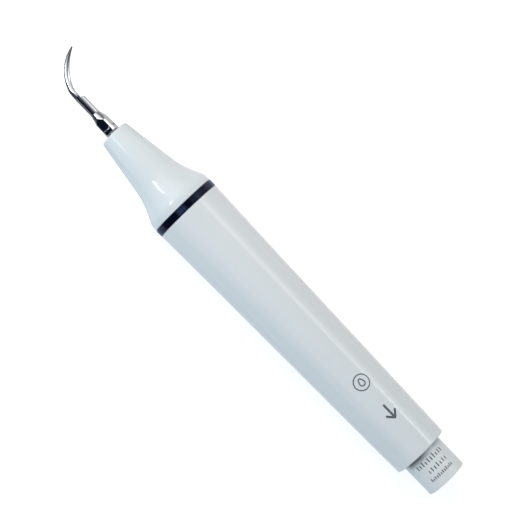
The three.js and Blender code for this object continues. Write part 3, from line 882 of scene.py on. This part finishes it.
def make_horn():
    """The horn: flange, swept neck, threaded stud, water bore and the hole for the preload bolt."""
    low, high = span("horn")
    sweep = []
    for i in range(15):
        t = i / 14
        sweep.append((NECK_START + NECK_SWEEP * t, HORN_RADIUS * (NECK_RADIUS / HORN_RADIUS) ** t, 0))
    corners = [
        (low.x, BOLT_HOLE_RADIUS, 0.1), (low.x, STACK_RADIUS, 0.3),
        (FLANGE_REAR, STACK_RADIUS, 0.2), (FLANGE_REAR, FLANGE_RADIUS, 0.2),
        (FLANGE_FRONT, FLANGE_RADIUS, 0.2), (FLANGE_FRONT, HORN_RADIUS, 0.3),
        *sweep,
        (HORN_FRONT, NECK_RADIUS, 0.15), (HORN_FRONT, 1.2, 0.1),
    ]
    turns = int((high.x - HORN_FRONT - 0.3) / STUD_PITCH)
    for i in range(turns):
        x = HORN_FRONT + 0.25 + i * STUD_PITCH
        corners += [(x, STUD_ROOT, 0), (x + STUD_PITCH / 2, STUD_RADIUS, 0)]
    corners += [
        (high.x, STUD_ROOT, 0.1), (high.x, HORN_WATER_BORE, 0.05),
        (BOLT_HOLE_FRONT, HORN_WATER_BORE, 0), (BOLT_HOLE_FRONT, BOLT_HOLE_RADIUS, 0),
    ]
    dress(turned("horn_body", corners, 72), "transducer", "titanium", titanium, "horn")


def bush_thread(front, count):
    """Loops of a helical thread that fades out at both ends."""
    steps = 160
    loops = []
    for k in range(steps + 1):
        x = BUSH_THREAD_REAR + (front - BUSH_THREAD_REAR) * k / steps
        fade = min(1, k / 18, (steps - k) / 14)
        loop = []
        for i in range(count):
            a = 2 * math.pi * i / count
            wave = abs(((x / BUSH_PITCH - i / count) % 1) * 2 - 1)
            flank = min(1, max(0, wave * 1.5 - 0.25))
            r = BUSH_THREAD_ROOT + (BUSH_RADIUS - BUSH_THREAD_ROOT) * fade * flank
            loop.append(Vector((x, r * math.sin(a), -r * math.cos(a))))
        loops.append(loop)
    return loops


def make_bush():
    """The bush that the nose cone screws on, with a collar against the handle's front."""
    low, high = span("nose_thread_bush")
    count = 96
    plain = [
        (low.x, BUSH_BORE), (low.x, 6.2), (low.x + 0.2, BUSH_RADIUS), (86.0, BUSH_RADIUS),
        (86.05, 7.1), (86.12, CHASSIS_RADIUS), (86.6, CHASSIS_RADIUS), (86.7, 7.1),
        (86.7, BUSH_THREAD_ROOT), (87.3, BUSH_THREAD_ROOT),
    ]
    front = [(high.x - 0.1, 5.95), (high.x, 5.8), (high.x, BUSH_BORE)]
    loops = [circle(x, r, count) for x, r in plain]
    loops += bush_thread(high.x - 0.5, count)
    loops += [circle(x, r, count) for x, r in front]
    skin = Skin()
    skin.wall(loops, wrap=True)
    bush = skin.build("thread_bush", sharp=40)
    dress(bush, "handle", "bush_steel", turned_steel, "nose_thread_bush")


def make_chassis():
    """The stepped tube that carries the stack, with the pocket for its flange seals in front."""
    low, high = span("chassis_tube")
    corners = [
        (low.x, CHASSIS_TAIL_RADIUS, 0.2),
        (46.8, CHASSIS_TAIL_RADIUS, 0),
        (47.6, CHASSIS_RADIUS, 0),
        (high.x, CHASSIS_RADIUS, 0.2), (high.x, FLANGE_POCKET, 0.2),
        (FLANGE_POCKET_REAR, FLANGE_POCKET, 0), (FLANGE_POCKET_REAR, CHASSIS_BORE, 0),
        (48.4, CHASSIS_BORE, 0),
        (47.6, CHASSIS_TAIL_BORE, 0),
        (low.x, CHASSIS_TAIL_BORE, 0.2),
    ]
    dress(turned("chassis_body", corners, 96), "handle", "inner_plastic", peek_plastic, "chassis_tube")


def stack_disc(name, node, bore, rear_fillet):
    """A ring of the stack's diameter that fills its CAD node's length."""
    low, high = span(node)
    corners = [
        (low.x, bore, 0.1), (low.x, STACK_RADIUS, rear_fillet),
        (high.x, STACK_RADIUS, 0.1), (high.x, bore, 0.1),
    ]
    return turned(name, corners, 72)


def make_stack():
    for number in range(1, 5):
        node = f"piezo_ring_{number}"
        disc = stack_disc(f"piezo_disc_{number}", node, PIEZO_BORE, 0.1)
        dress(disc, "transducer", "ceramic", ceramic, node)
    mass = stack_disc("rear_mass_body", "rear_mass", 1.85, 0.5)
    dress(mass, "transducer", "bush_steel", turned_steel, "rear_mass")


def make_hidden_seals():
    for name, node, centre_radius, section in (
        ("core_seal", "core_o_ring", 5.48, 0.41),
        ("flange_seal_1", "flange_o_ring_front", 5.6, 0.78),
        ("flange_seal_2", "flange_o_ring_rear", 5.75, 0.66),
    ):
        low, high = span(node)
        o_ring(name, "handle", node, (low.x + high.x) / 2, centre_radius, section)


def finish_cad_nodes():
    """Finishes for the CAD nodes that are shown as they are."""
    electrodes = [f"electrode_{number}" for number in range(1, 6)]
    finishes = (
        (copper, (*electrodes, "live_jumper", "return_jumper")),
        (peek_plastic, ("insulating_sleeve",)),
        (turned_steel, ("preload_bolt",)),
        (silicone, ("water_tube",)),
        (red_wire, ("live_lead",)),
        (black_wire, ("return_lead",)),
    )
    for look, nodes in finishes:
        for node in nodes:
            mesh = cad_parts[node].data
            mesh.materials.clear()
            mesh.materials.append(look)


# ---- printed marks


def ribbon(skin, line, width, radius_at, closed=False):
    """A thin raised stroke on a round surface. Line points are (x, distance round the surface)."""
    ink = 0.012
    sunk = 0.004
    rows = []
    for i, p in enumerate(line):
        before = line[i - 1] if closed or i > 0 else p
        after = line[(i + 1) % len(line)] if closed or i + 1 < len(line) else p
        along = (after - before).normalized()
        side = Vector((-along.y, along.x)) * (width / 2)
        row = []
        for q, lift in ((p - side, -sunk), (p + side, -sunk), (p + side, ink), (p - side, ink)):
            radius = radius_at(q.x) + lift
            a = q.y / radius_at(q.x)
            row.append(Vector((q.x, -radius * math.sin(a), radius * math.cos(a))))
        rows.append(row)
    skin.wall(rows, wrap=closed)
    if not closed:
        for row in (rows[0], rows[-1]):
            skin.bm.faces.new([skin.bm.verts.new(p * MM) for p in row])


def stroke(start, end, pieces=6):
    return [start.lerp(end, i / pieces) for i in range(pieces + 1)]


def make_handle_marks():
    """A ring with a drop in it, and an arrow: plain signs in the places of the printed marks."""
    around = math.radians(9.9) * 8.3  # both a little past the top, towards -Y
    ring_centre = Vector((24.1, around))
    ring = []
    for i in range(64):
        a = 2 * math.pi * i / 64
        ring.append(ring_centre + Vector((math.cos(a), math.sin(a))) * 2.15)
    drop = []
    for i in range(48):
        a = 2 * math.pi * i / 48
        reach = 0.75 * (1 + 0.75 * max(0.0, math.cos(a)) ** 6)
        drop.append(ring_centre + Vector((-0.25 + reach * math.cos(a), reach * math.sin(a))))
    skin = Skin()
    ribbon(skin, ring, 0.3, handle_radius, True)
    ribbon(skin, drop, 0.32, handle_radius, True)
    dress(skin.build("mark_drop"), "handle", "white_plastic", print_ink)
    skin = Skin()
    arrow = Vector((13.8, around))
    point = arrow + Vector((-2.2, 0))
    head = stroke(arrow + Vector((-0.4, 1.6)), point) + stroke(point, arrow + Vector((-0.4, -1.6)))[1:]
    ribbon(skin, head, 0.6, handle_radius)
    ribbon(skin, stroke(arrow + Vector((2.3, 0)), arrow + Vector((-1.7, 0))), 0.6, handle_radius)
    dress(skin.build("mark_arrow"), "handle", "white_plastic", print_ink)


def make_pip():
    """The small raised dot behind the rim that lines the hose connector up with the key."""
    centre, radius = 4.2, 0.42
    foot = handle_radius(centre)
    outline = [(0, -0.1), (1, -0.1)]
    for tilt in (0, 20, 40, 60, 90):
        a = math.radians(tilt)
        outline.append((math.cos(a), 0.15 * math.sin(a)))
    turns = [2 * math.pi * i / 24 for i in range(24)]
    loops = []
    for reach, rise in outline:
        r = radius * reach
        loops.append([Vector((centre + r * math.cos(a), r * math.sin(a), -foot - rise)) for a in turns])
    skin = Skin()
    skin.wall(loops)
    dress(skin.build("alignment_pip"), "handle", "white_plastic", white_plastic)


def make_stub_marks():
    """Rows of plain tick strokes on the connector's closed side."""
    skin = Skin()
    tallness = (1, 0.72, 0.86, 0.6)
    # each row: place along X, number of ticks, their spacing and height, shift round the block
    rows = ((-2.3, 10, 0.93, 1.5, 0.3), (-4.75, 7, 0.96, 1.4, 0.9), (-7.0, 12, 0.64, 1.0, 0.35))
    for x, count, spacing, height, shift in rows:
        for i in range(count):
            around = shift + (i - (count - 1) / 2) * spacing
            tall = height * tallness[(3 * i + count) % 4]
            start, end = Vector((x - height / 2, around)), Vector((x - height / 2 + tall, around))
            ribbon(skin, stroke(start, end, 3), 0.3, lambda _: CORE_RADIUS)
    dress(skin.build("mark_ticks"), "handle", "connector_plastic", print_ink)


# ---- stage

# Most lights only shade the plastic, and cards that only reflections can see draw the highlights and
# the dark and bright bands on the steel. A card's angles are measured from straight up towards -Y.


def emissive(name, colour, strength):
    material = bpy.data.materials.new(name)
    material.use_nodes = True
    nodes = material.node_tree.nodes
    nodes.clear()
    glow = nodes.new("ShaderNodeEmission")
    glow.inputs["Color"].default_value = (*colour, 1)
    glow.inputs["Strength"].default_value = strength
    out = nodes.new("ShaderNodeOutputMaterial")
    material.node_tree.links.new(glow.outputs["Emission"], out.inputs["Surface"])
    return material


def staged(name, verts, faces, look):
    """A piece of the studio, which is no part of the object."""
    mesh = bpy.data.meshes.new(name)
    mesh.from_pydata([v * MM for v in verts], [], faces)
    mesh.materials.append(look)
    made = linked(name, mesh)
    return made


def reflected_only(made):
    made.visible_camera = False
    made.visible_diffuse = False
    made.visible_shadow = False
    made.visible_transmission = False


def card(name, x_range, radius, start, end, colour, strength):
    """A card curved round the handpiece's axis between two angles."""
    steps = 24
    verts, faces = [], []
    for i in range(steps + 1):
        a = math.radians(start + (end - start) * i / steps)
        for x in x_range:
            verts.append(Vector((x, -radius * math.sin(a), radius * math.cos(a))))
        if i:
            faces.append((2 * i - 2, 2 * i - 1, 2 * i + 1, 2 * i))
    reflected_only(staged(name, verts, faces, emissive(name, colour, strength)))


def sheet(name, x_range, y_range, height, look):
    """A level rectangle."""
    (x0, x1), (y0, y1) = x_range, y_range
    corners = [(x0, y0), (x1, y0), (x1, y1), (x0, y1)]
    return staged(name, [Vector((x, y, height)) for x, y in corners], [(0, 1, 2, 3)], look)


def flat_card(name, x_range, y_range, colour):
    """A card lying just above the floor."""
    reflected_only(sheet(name, x_range, y_range, -RING_RADIUS + 0.1, emissive(name, colour, 1.0)))


def make_floor():
    """Pale paper that the camera sees as nearly white."""
    reach = (-4000, 4000)
    look = Look("floor_paper").set(Roughness=0.9, Specular_IOR_Level=0.0)
    look.set(Base_Color=(0.6, 0.6, 0.6, 1), Emission_Color=(1, 1, 1, 1))
    path = look.nodes.new("ShaderNodeLightPath")
    seen = look.combine("MULTIPLY", path.outputs["Is Camera Ray"], 0.62)
    look.links.new(seen, look.shader.inputs["Emission Strength"])
    sheet("floor", reach, reach, -RING_RADIUS - 0.02, look.material)


def make_world():
    """An even pale room, brighter where the camera sees it directly."""
    world = bpy.data.worlds.new("studio")
    bpy.context.scene.world = world
    world.use_nodes = True
    background = world.node_tree.nodes["Background"]
    background.inputs["Color"].default_value = (0.89, 0.96, 1.0, 1)
    brightness = world.node_tree.nodes.new("ShaderNodeMapRange")
    brightness.inputs["To Min"].default_value = 0.695
    brightness.inputs["To Max"].default_value = 1.06
    path = world.node_tree.nodes.new("ShaderNodeLightPath")
    world.node_tree.links.new(path.outputs["Is Camera Ray"], brightness.inputs["Value"])
    world.node_tree.links.new(brightness.outputs["Result"], background.inputs["Strength"])


def area_light(name, place, aim, size, power, colour):
    data = bpy.data.lights.new(name, "AREA")
    data.shape = "RECTANGLE"
    data.size, data.size_y = size[0] * MM, size[1] * MM
    data.energy = power
    data.color = colour
    light = linked(name, data)
    light.location = Vector(place) * MM
    light.rotation_mode = "QUATERNION"
    light.rotation_quaternion = (Vector(aim) - Vector(place)).to_track_quat("-Z", "Y")
    return light


def make_lights():
    """Five lights that only shade, and a window seen only as the highlight on the nose cone."""
    middle = (60, 0, 0)
    nose = (96, 1, 8)
    shading = (
        ("key", (200, -120, 250), middle, (160, 160), 0.366, (1.0, 0.815, 0.70)),
        ("fill", (120, 350, 200), middle, (260, 160), 0.2, (0.44, 0.74, 1.0)),
        ("side", (230, 110, 20), (100, 0, 0), (60, 60), 0.034, (1.0, 1.0, 1.0)),
        ("front", (300, 90, 200), nose, (70, 70), 0.1, (0.93, 0.98, 1.0)),
        ("low", (320, -10, 40), (96, 0, 4), (60, 60), 0.04, (1.0, 1.0, 1.0)),
    )
    for light in shading:
        area_light(*light).visible_glossy = False
    window = area_light("window", (270, 109, 226), nose, (130, 94), 0.366, (0.95, 0.98, 1.0))
    window.visible_diffuse = False


def make_tip_cards():
    """Cards for the steel tip, named after what they are seen in."""
    hub, rod, rod_side, cone, far = (80, 129), (129, 142), (129, 138), (150, 240), (142, 330)
    for name, x_range, start, end, colour, strength in (
        ("dark_card", hub, -125, 24, (0.006, 0.008, 0.02), 1.0),
        ("rod_limb_card", rod, -125, -92, (1.0, 1.0, 1.04), 1.0),
        ("rod_edge_card", rod, -92, -68, (0.24, 0.24, 0.27), 1.0),
        ("rod_side_card", rod, -68, -12, (0.008, 0.009, 0.02), 1.0),
        ("rod_top_card", rod, -12, 26, (0.1, 0.105, 0.135), 1.0),
        ("tip_card", (112, 129), 30, 70, (1.0, 1.0, 1.0), 1.7),
        ("rod_light_card", rod_side, 30, 56, (0.6, 0.61, 0.64), 1.0),
        ("rod_white_card", rod_side, 56, 90, (1.0, 1.0, 1.0), 1.25),
        ("cone_card", cone, -22, 33, (0.97, 0.98, 1.0), 1.2),
        ("cone_grey_card", cone, 33, 60, (0.4, 0.4, 0.42), 1.0),
        ("cone_shade_card", cone, 60, 105, (0.22, 0.22, 0.24), 1.0),
        ("bend_card", far, -125, -30, (0.07, 0.075, 0.1), 1.0),
    ):
        card(name, x_range, 90, start, end, colour, strength)
    card("flag_card", (100, 118), 40, 38, 64, (0.5, 0.5, 0.55), 1.0)
    flat_card("low_card_left", (112, 150), (20, 110), (0.006, 0.008, 0.02))
    flat_card("low_card_front", (176, 320), (-60, 110), (0.12, 0.125, 0.15))
    flat_card("low_card_right", (112, 150), (-9, -3), (0.02, 0.022, 0.03))


def make_handle_cards():
    """Cards for the plastic: the long highlight and its glow, the shaded flank and the limbs."""
    for part, x_range, lift in (("rear", (-60, -2), 1.5), ("front", (-2, 93), 0.95)):
        card(f"strip_card_{part}", x_range, 200, 48, 53, (1.0, 1.0, 0.98), 5.5 * lift)
        card(f"glow_card_{part}", x_range, 205, 53, 66, (1.0, 1.0, 0.98), 2.0)
    card("shade_card", (-60, 87.3), 200, -86, -38, (0.08, 0.04, 0.22), 1.0)
    for part, x_range in (("rear", (-80, 87.3)), ("front", (89.6, 112))):
        flat_card(f"floor_card_left_{part}", x_range, (11, 160), (0.83, 0.86, 0.93))
        flat_card(f"floor_card_right_{part}", x_range, (-160, -11), (1.08, 1.02, 1.06))


def make_ring_cards():
    """Bluish cards beside and above the dark ring."""
    flat_card("ring_floor_left", (87.3, 89.6), (11, 160), (0.4, 0.54, 0.8))
    flat_card("ring_floor_right", (87.3, 89.6), (-160, -11), (0.57, 0.77, 0.97))
    card("ring_card", (87.7, 89.7), 30, -26, 1, (0.44, 0.63, 1.0), 4.2)


def make_camera():
    """Looks straight down on the handpiece, turned so that its tip points up and left."""
    foot = Vector((63.6, 0, CAMERA_DISTANCE))
    aim = Vector((64.76, -4.51, 0))
    back = (foot - aim).normalized()
    right = Vector((-math.cos(AXIS_TURN), -math.sin(AXIS_TURN), 0))
    right = (right - back * right.dot(back)).normalized()
    up = back.cross(right)
    data = bpy.data.cameras.new("camera")
    data.lens = CAMERA_LENS
    data.clip_start = 0.01
    camera = linked("camera", data)
    camera.matrix_world = Matrix.Translation(foot * MM) @ Matrix((right, up, back)).transposed().to_4x4()
    bpy.context.scene.camera = camera


# ---- build

make_handle()
make_ring()
make_nose()
make_connector()
make_nozzle()
make_contacts()
make_tip()
make_horn()
make_bush()
make_chassis()
make_stack()
make_hidden_seals()
finish_cad_nodes()
make_handle_marks()
make_pip()
make_stub_marks()
make_floor()
make_world()
make_lights()
make_tip_cards()
make_handle_cards()
make_ring_cards()
make_camera()
bpy.context.scene.view_settings.view_transform = "Standard"
